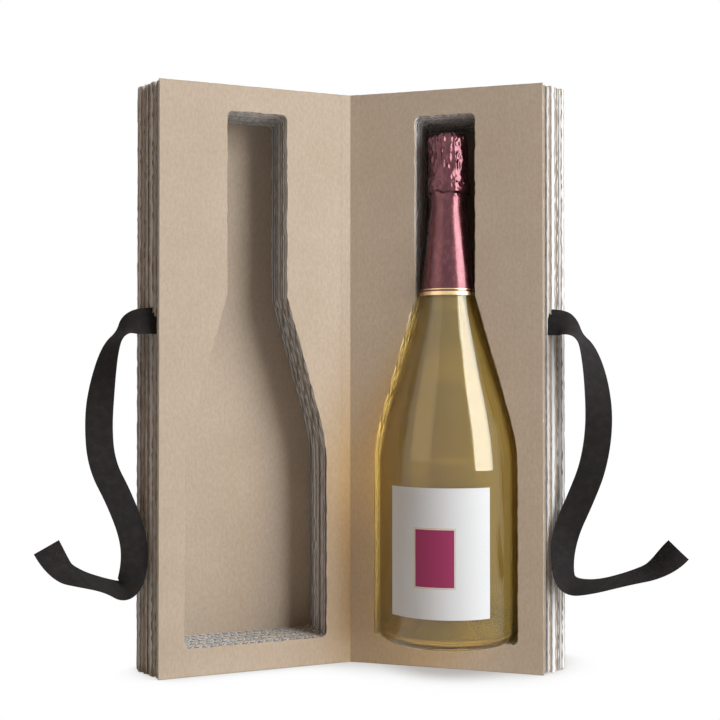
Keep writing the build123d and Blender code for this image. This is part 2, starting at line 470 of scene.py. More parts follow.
@dataclass(frozen=True)
class PaperFinish:
    """Brown or grey board paper.

    The pattern follows the board coordinates of a half: out from the fold, into the depth, up.
    """

    name: str
    colour: Colour
    shade: Colour
    speck: Colour
    speck_share: float = 0.35
    grain_share: float = 0.16
    grain_depth: float = 0.00012
    rib_pitch: float = 0.0
    rib_depth: float = 0.0
    roughness: float = 0.88
    specular: float = 0.05

    def build(self) -> bpy.types.Material:
        """Builds the material.

        Returns:
            The material.
        """
        material, wiring, shader = new_material(self.name)
        board = wiring.node("Attribute", attribute_name=BOARD_COORDINATES).outputs["Vector"]
        fibre = wiring.node("Group", node_tree=PaperFibre().group())
        wiring.put(fibre.inputs["Vector"], board)
        tone = wiring.mix(fibre.outputs["Cloud"], self.colour, self.shade)
        grain = wiring.math("MULTIPLY", wiring.steps(fibre.outputs["Height"], 0.62, 0.38), self.grain_share)
        tone = wiring.mix(grain, tone, self.speck)
        share = wiring.math("MULTIPLY", fibre.outputs["Speck"], self.speck_share)
        wiring.put(shader.inputs["Base Color"], wiring.mix(share, tone, self.speck))
        height = wiring.math("MULTIPLY", fibre.outputs["Height"], self.grain_depth)
        if self.rib_pitch:
            across = wiring.node("SeparateXYZ", {0: board}).outputs["X"]
            turns = wiring.math("MULTIPLY", across, math.tau / self.rib_pitch)
            rib = wiring.math("MULTIPLY", wiring.math("SINE", turns), self.rib_depth)
            height = wiring.math("ADD", height, rib)
        bump = wiring.node("Bump", {"Height": height, "Strength": 1.0, "Distance": 1.0})
        wiring.put(shader.inputs["Normal"], bump.outputs["Normal"])
        wiring.put(shader.inputs["Roughness"], self.roughness)
        wiring.put(shader.inputs["Specular IOR Level"], self.specular)
        return material


@dataclass(frozen=True)
class TapeFinish:
    """Matt black woven tape with fine cross ribs, on the tape's own UV map in metres."""

    name: str = "black_tape"
    colour: Colour = (0.008, 0.007, 0.008, 1.0)
    # Lighter colour of the weave's raised crests: a painted highlight; the random patches take this colour too.
    crest: Colour = (0.027, 0.023, 0.024, 1.0)
    rib_pitch: float = 0.0009
    thread_pitch: float = 0.0011
    rib_depth: float = 0.00012
    patch_scale: float = 160.0
    sheen: float = 0.06
    specular: float = 0.15
    roughness: float = 0.85

    def build(self) -> bpy.types.Material:
        """Builds the material.

        Returns:
            The material.
        """
        material, wiring, shader = new_material(self.name)
        place = wiring.node("UVMap", uv_map="tape").outputs["UV"]
        parts = wiring.node("SeparateXYZ", {0: place})
        ribs = wiring.math("SINE", wiring.math("MULTIPLY", parts.outputs["Y"], math.tau / self.rib_pitch))
        threads = wiring.math("SINE", wiring.math("MULTIPLY", parts.outputs["X"], math.tau / self.thread_pitch))
        weave = wiring.math("ADD", wiring.math("MULTIPLY", ribs, 0.5), wiring.math("MULTIPLY", threads, 0.25))
        # Painted highlight: the crests of the weave, raised by the same pattern in the bump, take the lighter colour.
        crest = wiring.steps(weave, -0.75, 0.75)
        patch = wiring.noise(place, self.patch_scale, 3.0)
        tone = wiring.mix(crest, self.colour, self.crest)
        highlight_and_patches = wiring.mix(wiring.steps(patch, 0.35, 0.75), tone, self.crest)
        wiring.put(shader.inputs["Base Color"], highlight_and_patches)
        bump = wiring.node("Bump", {"Height": wiring.math("MULTIPLY", weave, self.rib_depth), "Distance": 1.0})
        wiring.put(shader.inputs["Normal"], bump.outputs["Normal"])
        wiring.put(shader.inputs["Roughness"], self.roughness)
        wiring.put(shader.inputs["Sheen Weight"], self.sheen)
        wiring.put(shader.inputs["Sheen Roughness"], 0.5)
        wiring.put(shader.inputs["Specular IOR Level"], self.specular)
        return material


def let_light_through(wiring: Wiring, shader: bpy.types.Node, tint: Colour) -> None:
    """Makes a clear material's shadow a tinted one.

    Args:
        wiring: The material's wiring.
        shader: Its Principled shader.
        tint: Colour of the light that each surface lets through.
    """
    path = wiring.node("LightPath")
    clear = wiring.node("BsdfTransparent", {"Color": tint})
    mixed = wiring.node("MixShader", {0: path.outputs["Is Shadow Ray"], 1: shader.outputs[0], 2: clear.outputs[0]})
    wiring.put(wiring.tree.nodes["Material Output"].inputs["Surface"], mixed.outputs[0])


@dataclass(frozen=True)
class GlassFinish:
    """Clear bottle glass with a faint warm tint and slight waviness."""

    name: str = "clear_glass"
    tint: Colour = (0.97, 0.98, 0.93, 1.0)
    roughness: float = 0.015
    index: float = 1.5
    wave_scale: float = 30.0
    wave_depth: float = 0.0002

    def build(self) -> bpy.types.Material:
        """Builds the material.

        Returns:
            The material.
        """
        material, wiring, shader = new_material(self.name)
        place = wiring.node("TexCoord").outputs["Object"]
        wave = wiring.math("MULTIPLY", wiring.noise(place, self.wave_scale, 1.0), self.wave_depth)
        bump = wiring.node("Bump", {"Height": wave, "Distance": 1.0})
        wiring.put(shader.inputs["Normal"], bump.outputs["Normal"])
        wiring.put(shader.inputs["Base Color"], self.tint)
        wiring.put(shader.inputs["Roughness"], self.roughness)
        wiring.put(shader.inputs["IOR"], self.index)
        wiring.put(shader.inputs["Transmission Weight"], 1.0)
        let_light_through(wiring, shader, self.tint)
        return material


@dataclass(frozen=True)
class WineFinish:
    """Golden white wine, a little deeper in tone towards the base."""

    name: str = "golden_wine"
    colour: Colour = (0.85, 0.61, 0.145, 1.0)
    deep: Colour = (0.84, 0.59, 0.12, 1.0)
    light: Colour = (0.71, 0.55, 0.31, 1.0)
    transmission: float = 0.9
    roughness: float = 0.02
    index: float = 1.34
    tone_heights: Point2 = (0.30, 0.03)

    def build(self) -> bpy.types.Material:
        """Builds the material.

        Returns:
            The material.
        """
        material, wiring, shader = new_material(self.name)
        place = wiring.node("TexCoord").outputs["Object"]
        height = wiring.node("SeparateXYZ", {0: place}).outputs["Z"]
        tone = wiring.mix(wiring.steps(height, *self.tone_heights), self.colour, self.deep)
        wiring.put(shader.inputs["Base Color"], tone)
        wiring.put(shader.inputs["Roughness"], self.roughness)
        wiring.put(shader.inputs["IOR"], self.index)
        wiring.put(shader.inputs["Transmission Weight"], self.transmission)
        let_light_through(wiring, shader, self.light)
        return material


@dataclass(frozen=True)
class FoilFinish:
    """Burgundy lacquered foil with a double gold band at its lower edge."""

    name: str
    low: float
    colour: Colour = (0.092, 0.020, 0.028, 1.0)
    # Lighter burgundy given where the crease noise is high: a painted highlight on the crease ridges.
    glow: Colour = (0.145, 0.040, 0.052, 1.0)
    gold: Colour = (0.78, 0.58, 0.30, 1.0)
    bands: tuple[Point2, ...] = ((-0.001, 0.0026), (0.0040, 0.0047))
    band_blur: float = 0.00012
    metallic: float = 0.85
    roughness: float = 0.26
    roughness_swing: float = 0.2
    lacquer: float = 0.6
    lacquer_roughness: float = 0.16
    crease_stretch: tuple[float, float, float] = (1.0, 1.0, 0.5)
    crease_scale: float = 260.0
    crease_depth: float = 0.00010

    def build(self) -> bpy.types.Material:
        """Builds the material.

        Returns:
            The material.
        """
        material, wiring, shader = new_material(self.name)
        place = wiring.node("TexCoord").outputs["Object"]
        height = wiring.node("SeparateXYZ", {0: place}).outputs["Z"]
        above = wiring.math("SUBTRACT", height, self.low)
        mask: object = 0.0
        for start, end in self.bands:
            rise = wiring.steps(above, start - self.band_blur, start + self.band_blur)
            fall = wiring.steps(above, end + self.band_blur, end - self.band_blur)
            mask = wiring.math("MAXIMUM", mask, wiring.math("MULTIPLY", rise, fall))
        crease = wiring.noise(wiring.stretched(place, self.crease_stretch), self.crease_scale, 4.0, 0.6)
        # Painted highlight: the crease noise that raises the bump also lightens the colour towards the glow tone.
        tone = wiring.mix(wiring.steps(crease, 0.35, 0.7), self.colour, self.glow)
        wiring.put(shader.inputs["Base Color"], wiring.mix(mask, tone, self.gold))
        wiring.put(shader.inputs["Metallic"], self.metallic)
        wiring.put(shader.inputs["Coat Weight"], self.lacquer)
        wiring.put(shader.inputs["Coat Roughness"], self.lacquer_roughness)
        uneven = wiring.math("MULTIPLY", crease, self.roughness_swing)
        rough = wiring.math("ADD", uneven, self.roughness - self.roughness_swing / 2)
        wiring.put(shader.inputs["Roughness"], rough)
        bump = wiring.node("Bump", {"Height": wiring.math("MULTIPLY", crease, self.crease_depth), "Distance": 1.0})
        wiring.put(shader.inputs["Normal"], bump.outputs["Normal"])
        return material


@dataclass(frozen=True)
class LabelFinish:
    """White label paper with a plain bordered colour field, on the label's UV map in metres."""

    name: str
    width: float
    height: float
    field_size: Point2 = (0.0297, 0.0425)
    field_shift: float = -0.0027
    field_rise: float = -0.0035
    border: float = 0.0012
    paper: Colour = (0.75, 0.77, 0.80, 1.0)
    field_colour: Colour = (0.30, 0.020, 0.095, 1.0)
    cream: Colour = (0.72, 0.55, 0.36, 1.0)
    shade: float = 0.965
    border_gap: float = 0.45
    tooth_scale: float = 700.0
    tooth_depth: float = 0.00006
    roughness: float = 0.62
    blur: float = 0.00012

    def frame_mask(self, wiring: Wiring, across: object, up: object, grow: float) -> bpy.types.NodeSocket:
        """Mask of the colour field, grown on all sides.

        Args:
            wiring: The material's wiring.
            across: Distance from the label's middle.
            up: Height above the field's middle.
            grow: How far the mask reaches past the field.

        Returns:
            The mask's socket.
        """
        masks = []
        for value, size in ((across, self.field_size[0]), (up, self.field_size[1])):
            edge = size / 2 + grow
            masks.append(wiring.steps(wiring.math("ABSOLUTE", value), edge + self.blur, edge - self.blur))
        return wiring.math("MULTIPLY", *masks)

    def build(self) -> bpy.types.Material:
        """Builds the material.

        Returns:
            The material.
        """
        material, wiring, shader = new_material(self.name)
        place = wiring.node("UVMap", uv_map="label").outputs["UV"]
        parts = wiring.node("SeparateXYZ", {0: place})
        across = wiring.math("SUBTRACT", parts.outputs["X"], self.width / 2 + self.field_shift)
        up = wiring.math("SUBTRACT", parts.outputs["Y"], self.height / 2 + self.field_rise)
        tooth = wiring.noise(place, self.tooth_scale, 4.0, 0.6)
        shaded = tuple(value * self.shade for value in self.paper[:3]) + (1.0,)
        paper = wiring.mix(wiring.steps(tooth, 0.3, 0.7), self.paper, shaded)
        bordered = wiring.mix(self.frame_mask(wiring, across, up, self.border), paper, self.cream)
        gap = wiring.mix(self.frame_mask(wiring, across, up, self.border * self.border_gap), bordered, paper)
        printed = wiring.mix(self.frame_mask(wiring, across, up, 0.0), gap, self.field_colour)
        wiring.put(shader.inputs["Base Color"], printed)
        bump = wiring.node("Bump", {"Height": wiring.math("MULTIPLY", tooth, self.tooth_depth), "Distance": 1.0})
        wiring.put(shader.inputs["Normal"], bump.outputs["Normal"])
        wiring.put(shader.inputs["Roughness"], self.roughness)
        return material


@dataclass(frozen=True)
class GrainFinish:
    """A plain hidden material with a grain: cork or drawn wire."""

    name: str
    colour: Colour
    shade: Colour
    scale: float
    metallic: float = 0.0
    roughness: float = 0.8
    depth: float = 0.0004

    def build(self) -> bpy.types.Material:
        """Builds the material.

        Returns:
            The material.
        """
        material, wiring, shader = new_material(self.name)
        place = wiring.node("TexCoord").outputs["Object"]
        grain = wiring.noise(place, self.scale, 4.0, 0.65)
        wiring.put(shader.inputs["Base Color"], wiring.mix(wiring.steps(grain, 0.4, 0.65), self.colour, self.shade))
        bump = wiring.node("Bump", {"Height": wiring.math("MULTIPLY", grain, self.depth), "Distance": 1.0})
        wiring.put(shader.inputs["Normal"], bump.outputs["Normal"])
        wiring.put(shader.inputs["Metallic"], self.metallic)
        wiring.put(shader.inputs["Roughness"], self.roughness)
        return material


@dataclass(frozen=True)
class BoardFinishes:
    """The materials of a corrugated sheet, in the order of its slots."""

    liner: bpy.types.Material
    flute: bpy.types.Material
    cut: bpy.types.Material
    burr: bpy.types.Material
    end: bpy.types.Material

    @classmethod
    def kraft(cls) -> "BoardFinishes":
        """Builds the kraft liner, the fluting, the cut edge, the front edge's burr and the flute ends; the fluting and
        the cut edge are darkened by painted shade on top of their own brown tone.

        Returns:
            The materials.
        """
        liner = PaperFinish(
            "kraft_liner", (0.590, 0.492, 0.398, 1.0), (0.555, 0.458, 0.364, 1.0), (0.40, 0.30, 0.21, 1.0),
            grain_share=0.27, rib_pitch=SHEET_FLUTE.pitch, rib_depth=0.000007,
        )
        # The fluting: brown paper, darkened further by painted shade of the channels between the flutes.
        flute = PaperFinish(
            "brown_fluting", (0.20, 0.155, 0.115, 1.0), (0.12, 0.09, 0.065, 1.0), (0.32, 0.26, 0.20, 1.0),
        )
        # The cut edge: brown cut board, darkened further by painted shade of the opening's walls.
        cut = PaperFinish(
            "cut_edge", (0.066, 0.049, 0.038, 1.0), (0.038, 0.028, 0.021, 1.0), (0.42, 0.36, 0.30, 1.0),
            speck_share=0.6,
        )
        burr = PaperFinish(
            "pale_burr", (0.54, 0.46, 0.37, 1.0), (0.46, 0.38, 0.29, 1.0), (0.30, 0.22, 0.155, 1.0), speck_share=0.4,
        )
        end = PaperFinish(
            "flute_end", (0.52, 0.48, 0.43, 1.0), (0.40, 0.36, 0.31, 1.0), (0.12, 0.09, 0.068, 1.0), speck_share=0.75,
            grain_share=0.45,
        )
        return cls(liner.build(), flute.build(), cut.build(), burr.build(), end.build())

    def dress(self, obj: bpy.types.Object) -> None:
        """Gives an object the slots."""
        for material in (self.liner, self.flute, self.cut, self.burr, self.end):
            obj.data.materials.append(material)


@dataclass(frozen=True)
class HalfFrame:
    """Where a half stands: its fold line and the lean of its inner face."""

    side: Side
    fold_x: float
    fold_y: float
    lean: float

    @classmethod
    def of(cls, side: Side) -> "HalfFrame":
        """Reads the half's place from the fold joint.

        Args:
            side: Which half.

        Returns:
            The half's frame.
        """
        joint = frame["joints"][0]
        lean = math.radians((180.0 - joint["range_deg"][1]) / 2)
        return cls(side, joint["pos_m"][0], joint["pos_m"][1], lean)

    def matrix(self) -> Matrix:
        """Turns board coordinates (out from the fold, depth, height) into the row frame.

        Returns:
            The matrix.
        """
        side, across, into = self.side.value, math.cos(self.lean), math.sin(self.lean)
        return Matrix((
            (side * across, side * into, 0.0, self.fold_x),
            (-into, across, 0.0, self.fold_y),
            (0.0, 0.0, 1.0, 0.0),
            (0.0, 0.0, 0.0, 1.0),
        ))

    def point(self, out: float, depth: float, height: float) -> Vector:
        """A point of the row frame from board coordinates."""
        return self.matrix() @ Vector((out, depth, height))

    def settle(self, obj: bpy.types.Object) -> None:
        """Keeps a mesh's board coordinates as an attribute and moves it into the row frame.

        Args:
            obj: The object, whose mesh is in board coordinates.
        """
        mesh = obj.data
        flat = [0.0] * (3 * len(mesh.vertices))
        mesh.vertices.foreach_get("co", flat)
        board = mesh.attributes.new(BOARD_COORDINATES, "FLOAT_VECTOR", "POINT")
        board.data.foreach_set("vector", flat)
        mesh.transform(self.matrix())
        if self.side is Side.LEFT:
            mesh.flip_normals()


@dataclass
class CutOut:
    """Bottle-shaped opening of a sheet, above its ledge."""

    middle: float
    half_width: float
    ledge: float
    top: float
    neck_half: float = 23.0 * MM
    shoulder_low: float = 152.0 * MM
    shoulder_high: float = 265.0 * MM
    shoulder_round: float = 130.0 * MM
    neck_round: float = 8.0 * MM
    corner_round: float = 4.0 * MM

    def outline(self) -> list[Point2]:
        """Draws the outline.

        Returns:
            The outline with its rounded corners, as points.
        """
        half, neck = self.half_width, self.neck_half
        low, high = self.ledge + self.shoulder_low, self.ledge + self.shoulder_high
        right = [(half, self.ledge), (half, low), (neck, high), (neck, self.top)]
        radii = [self.corner_round, self.shoulder_round, self.neck_round, self.corner_round]
        corners = [(self.middle + x, z) for x, z in right] + [(self.middle - x, z) for x, z in reversed(right)]
        return rounded(corners, radii + radii[::-1], closed=True)


@dataclass
class CorrugatedSheet:
    """One sheet of corrugated board: two liners, the wave layer between them and the die-cut opening."""

    node: str
    half: HalfFrame
    flute: Flute
    seed: int
    slot: str
    front_fore: float | None = None
    paper: float = 0.36 * MM
    wave_samples: int = 8
    die_step: float = 3.6 * MM
    die_rough: float = 0.40 * MM
    burr: float = 0.55 * MM
    fore_rough: float = 0.45 * MM
    face_rough_share: float = 0.3
    front_share: float = 0.3
    back_short: float = 0.8 * MM
    play: float = 0.02 * MM
    fore_rows: int = 128
    tear_scale: float = 110.0
    tear_swing: float = 0.12
    tear_jitter: float = 0.06
    tear_mean: float = 0.3
    tear_least: float = 0.05
    tear_past: float = 1.2 * MM
    crush: float = 0.2
    crush_scale: float = 130.0
    crush_layer: float = 3.0
    level_slope: float = 0.8
    overrun: float = 3.0 * MM
    probe_shares: tuple[float, ...] = (0.1, 0.3, 0.6, 0.9)
    probe_aside: float = 7.0 * MM
    probe_inset: float = 8.0 * MM
    attempts: int = 5
    attempt_seed: int = 1000
    shade_angle: float = 28.0
    box: tuple[Vector, Vector] = field(init=False)
    cut_out: CutOut | None = field(init=False)

    def __post_init__(self) -> None:
        """Measures the sheet on its CAD node."""
        back = self.half.matrix().inverted()
        points = [back @ vertex.co for vertex in frame["nodes"][self.node].data.vertices]
        self.box = tuple(Vector(tuple(pick(p[axis] for p in points) for axis in range(3))) for pick in (min, max))
        low, high = self.box
        inside = [
            p for p in points if all(low[axis] + MM < p[axis] < high[axis] - MM for axis in (0, 2))
        ]
        self.cut_out = None
        if inside:
            heights = [p.z for p in inside]
            foot = [p.x for p in inside if p.z < min(heights) + MM]
            self.cut_out = CutOut((min(foot) + max(foot)) / 2, (max(foot) - min(foot)) / 2, min(heights), max(heights))

    @property
    def front_edge(self) -> float:
        """Where the front liner ends: a splayed sheet is cut on the slant from the sheet in front of it.

        Returns:
            The distance from the fold.
        """
        fore = self.box[1].x
        if self.front_fore is None or self.front_fore > fore:
            return fore
        return self.front_fore + self.front_share * (fore - self.front_fore)

    def liner(self, depth: float, fore: float, burr: float, rng: random.Random) -> bpy.types.Object:
        """One flat sheet of liner paper.

        Args:
            depth: Depth of the paper's front.
            fore: Where its ragged fore-edge is.
            burr: Width of the pale slope that the cut leaves along its edges.
            rng: Source of the raggedness.

        Returns:
            The liner, in board coordinates.
        """
        low, high = self.box
        rough = self.fore_rough * (self.face_rough_share if burr else 1.0)
        rim = ragged([(low.x, low.z), (fore, low.z), (fore, high.z), (low.x, high.z)], self.die_step, rough, rng)
        rim = [(min(max(x, low.x), high.x), min(max(z, low.z), high.z)) for x, z in rim]
        face = [(min(x, fore - burr), min(max(z, low.z + burr), high.z - burr)) for x, z in rim]
        points = [(x, depth, z) for x, z in face] + [(x, depth + self.paper, z) for x, z in rim]
        count = len(rim)
        sides = [(n, (n + 1) % count, count + (n + 1) % count, count + n) for n in range(count)]
        faces = [tuple(range(count)), tuple(reversed(range(count, 2 * count)))] + sides
        obj = mesh_object(f"{self.node}_liner", points, faces=faces)
        inner = 0 if depth > low.y else 1
        obj.data.polygons[inner].material_index = Part.FLUTE.value
        for polygon in obj.data.polygons[2:]:
            polygon.material_index = (Part.BURR if burr else Part.CUT).value
        return obj

    def wave_point(
        self, out: float, height: float, middle: float, swing: float, phase: float
    ) -> tuple[float, float, float]:
        """A point of the wave layer.

        Args:
            out: Distance from the fold.
            height: Height above the floor.
            middle: Depth of the wave's middle.
            swing: How far the wave swings to each side of it.
            phase: Where the wave starts, in radians.

        Returns:
            The point, in board coordinates.
        """
        turn = math.tau * out / self.flute.pitch + phase
        return out, middle + swing * math.cos(turn), height

    def wave(self, near: float, far: float, rng: random.Random) -> bpy.types.Object:
        """The fluted paper between the liners, with a torn and crushed fore-edge.

        Args:
            near: Back of the front liner.
            far: Front of the back liner.
            rng: Source of the wave's place and of the tears.

        Returns:
            The fluted paper, in board coordinates.
        """
        low, high = self.box
        start = low.x + self.flute.paper
        last = high.x - self.flute.pitch
        phase = rng.uniform(0, math.tau)
        middle = (near + far) / 2
        swing = (far - near) / 2 - self.flute.paper / 2 - self.play
        count = round((last - start) / self.flute.pitch * self.wave_samples)
        outs = [start + (last - start) * n / count for n in range(count + 1)]
        rows = [[self.wave_point(out, height, middle, swing, phase) for out in outs] for height in (low.z, high.z)]
        shares = [n / self.wave_samples for n in range(self.wave_samples + 1)]
        for row in range(self.fore_rows + 1):
            height = low.z + (high.z - low.z) * row / self.fore_rows
            wander = noise.noise(Vector((self.seed, height * self.tear_scale, 0.0)))
            tear = wander * self.tear_swing + rng.uniform(-self.tear_jitter, self.tear_jitter) + self.tear_mean
            end = high.x - max(self.tear_least, tear) * (high.x - self.front_edge + self.tear_past)
            squeeze = noise.noise(Vector((height * self.crush_scale, self.seed, self.crush_layer)))
            crush = max(0.0, squeeze) * self.crush
            rows.append([
                self.wave_point(
                    last + self.play + (end - last) * share, height, middle, swing * (1.0 - crush * share**2), phase
                )
                for share in shares
            ])
        points = [point for row in rows for point in row]
        faces = grid_faces(2, len(outs)) + grid_faces(self.fore_rows + 1, len(shares), 2 * len(outs))
        obj = mesh_object(f"{self.node}_wave", points, faces=faces)
        for number, polygon in enumerate(obj.data.polygons):
            polygon.material_index = (Part.FLUTE if number < count else Part.END).value
        apply_modifier(obj, "SOLIDIFY", thickness=self.flute.paper, offset=0.0)
        return obj

    def die(self, burr: float, rng: random.Random) -> bpy.types.Object:
        """The die that cuts the opening: a ragged prism through the sheet, a little wider at the front.

        Args:
            burr: Width of the pale slope that it leaves along the front edge.
            rng: Source of the raggedness.

        Returns:
            The die, in board coordinates.
        """
        outline = [Vector(point) for point in ragged(self.cut_out.outline(), self.die_step, self.die_rough, rng)]
        count = len(outline)
        away = []
        for n in range(count):
            run = outline[(n + 2) % count] - outline[n - 2]
            away.append(Vector((run.y, -run.x)).normalized())
        low, high = self.box
        clear = self.die_rough
        flared = clear + burr
        rings = [
            (low.y - self.overrun, flared), (low.y, flared), (low.y + burr, clear), (high.y + self.overrun, clear),
        ]
        points = []
        for depth, grow in rings:
            for spot, side in zip(outline, away):
                moved = spot + side * grow
                points.append((moved.x, depth, moved.y))
        caps = [tuple(range(count)), tuple(reversed(range(len(points) - count, len(points))))]
        faces = list(caps)
        for ring in range(len(rings) - 1):
            for n in range(count):
                ahead = (n + 1) % count
                first, second = ring * count, (ring + 1) * count
                faces.append((first + n, second + n, second + ahead, first + ahead))
        obj = mesh_object(f"{self.node}_die", points, faces=faces)
        for number, polygon in enumerate(obj.data.polygons):
            ring, n = divmod(number - len(caps), count)
            flare = burr and ring == 1
            level = abs(away[n].y) > self.level_slope
            polygon.material_index = (Part.BURR if flare else Part.END if level else Part.CUT).value
        with editing(obj):
            bpy.ops.mesh.normals_make_consistent(inside=False)
        return obj

    def cut_sheet(self, finishes: BoardFinishes, rng: random.Random) -> bpy.types.Object:
        """Glues up the sheet and cuts its opening.

        Args:
            finishes: The board's materials.
            rng: Source of the raggedness.

        Returns:
            The sheet, in board coordinates.
        """
        low, high = self.box
        burr = self.burr if self.front_fore is None else 0.0
        far = high.y - self.paper
        pieces = [
            self.liner(low.y, self.front_edge, burr, rng),
            self.liner(far, high.x - rng.uniform(0.0, self.back_short), 0.0, rng),
            self.wave(low.y + self.paper, far, rng),
        ]
        finishes.dress(pieces[0])
        sheet = join(f"{self.node}_board", pieces)
        with editing(sheet):
            bpy.ops.mesh.normals_make_consistent(inside=False)
        if self.cut_out:
            die = self.die(burr, rng)
            finishes.dress(die)
            apply_modifier(sheet, "BOOLEAN", operation="DIFFERENCE", object=die, solver="EXACT")
            bpy.data.objects.remove(die)
        return sheet

    def is_open(self, sheet: bpy.types.Object) -> bool:
        """Tells whether the opening goes right through the sheet, and the board beside it is whole.

        Args:
            sheet: The cut sheet, in board coordinates.

        Returns:
            True where the sheet is cut as it should be.
        """
        if not self.cut_out:
            return True
        tree = BVHTree.FromPolygons(
            [vertex.co for vertex in sheet.data.vertices], [tuple(face.vertices) for face in sheet.data.polygons]
        )
        low, high = self.box
        into = Vector((0.0, 1.0, 0.0))
        heights = [low.z + (high.z - low.z) * share for share in self.probe_shares]
        clear = [Vector((self.cut_out.middle + self.probe_aside, low.y - MM, height)) for height in heights]
        solid = [Vector((low.x + self.probe_inset, low.y - MM, height)) for height in heights]
        return not any(tree.ray_cast(p, into)[0] for p in clear) and all(tree.ray_cast(p, into)[0] for p in solid)

    def build(self, finishes: BoardFinishes) -> bpy.types.Object:
        """Makes the sheet and puts it in its half.

        Args:
            finishes: The board's materials.

        Returns:
            The finished sheet, which replaces its CAD node.
        """
        for attempt in range(self.attempts):
            sheet = self.cut_sheet(finishes, random.Random(self.seed + self.attempt_seed * attempt))
            if self.is_open(sheet):
                break
            LOG.info("%s: cut again", self.node)
            if attempt < self.attempts - 1:
                bpy.data.objects.remove(sheet)
        smooth(sheet, self.shade_angle)
        self.half.settle(sheet)
        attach(sheet, self.half.side.body)
        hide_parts(self.node)
        LOG.info("%s: %d faces", sheet.name, len(sheet.data.polygons))
        return sheet


@dataclass
class BoxHalf:
    """One half of the box: the stack of cut sheets and its plain back sheet."""

    half: HalfFrame
    seed_step: int = 100
    back_seed: int = 900

    def build(self, finishes: BoardFinishes) -> None:
        """Makes every sheet of the stack, from the face to the back.

        Args:
            finishes: The board's materials.
        """
        prefix = self.half.side.prefix
        count = sum(name.startswith(f"{prefix}_sheet_") for name in frame["nodes"])
        nodes = [f"{prefix}_facing_sheet"] + [f"{prefix}_sheet_{number + 2}" for number in range(count)]
        front_fore = None
        for number, node in enumerate(nodes):
            slot = "corrugated" if number else "kraft_face"
            seed = self.seed_step * (number + 1) + self.half.side.value
            sheet = CorrugatedSheet(node, self.half, SHEET_FLUTE, seed, slot, front_fore)
            sheet.build(finishes)
            front_fore = sheet.box[1].x
        back = CorrugatedSheet(
            f"{prefix}_back_sheet", self.half, BACK_FLUTE, self.back_seed, "cover_board", front_fore
        )
        back.build(finishes)


@dataclass
class FoldStrip:
    """The creased liner paper that joins the two halves along the fold."""

    reach: float = 7.0 * MM
    crease: float = 1.2 * MM
    paper: float = 0.09 * MM
    middle_depth: float = 0.075 * MM
    columns: int = 6
    shade_angle: float = 60.0

    def build(self, finishes: BoardFinishes) -> bpy.types.Object:
        """Makes the strip across the fold.

        Args:
            finishes: The board's materials.

        Returns:
            The strip.
        """
        right, left = HalfFrame.of(Side.RIGHT), HalfFrame.of(Side.LEFT)
        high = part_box("right_facing_sheet")[1].z
        outs = [self.reach] + [self.crease * (1 - n / self.columns) for n in range(self.columns)]
        plan = [right.point(out, self.middle_depth, 0.0) for out in outs]
        middle = right.point(-math.tan(right.lean) * self.middle_depth, self.middle_depth, 0.0)
        plan = plan + [middle] + [left.point(out, self.middle_depth, 0.0) for out in reversed(outs)]
        board = [(-out, 0.0) for out in outs] + [(0.0, 0.0)] + [(out, 0.0) for out in reversed(outs)]
        lift = Vector((0.0, 0.0, high))
        points = plan + [point + lift for point in plan]
        size = len(plan)
        faces = [(n, n + 1, size + n + 1, size + n) for n in range(size - 1)]
        obj = mesh_object("fold_strip", points, faces=faces)
        spread = obj.data.attributes.new(BOARD_COORDINATES, "FLOAT_VECTOR", "POINT")
        places = [(out, depth, 0.0) for out, depth in board] + [(out, depth, high) for out, depth in board]
        spread.data.foreach_set("vector", [value for place in places for value in place])
        apply_modifier(obj, "SOLIDIFY", thickness=self.paper, offset=0.0)
        with editing(obj):
            bpy.ops.mesh.normals_make_consistent(inside=False)
        obj.data.materials.append(finishes.liner)
        smooth(obj, self.shade_angle)
        start = right.point(self.crease, self.middle_depth, 0.0)
        end = left.point(self.crease, self.middle_depth, 0.0)
        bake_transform(obj)
        LOG.info("fold_strip: %d faces", len(obj.data.polygons))
        return obj


@dataclass(frozen=True)
class TapePoint:
    """A control point of a ribbon: its distance past the fore-edge, its height, and the tape's roll there.

    At no roll the tape faces the viewer; at 90 degrees it is seen on edge.
    """

    out: float
    height: float
    roll: float


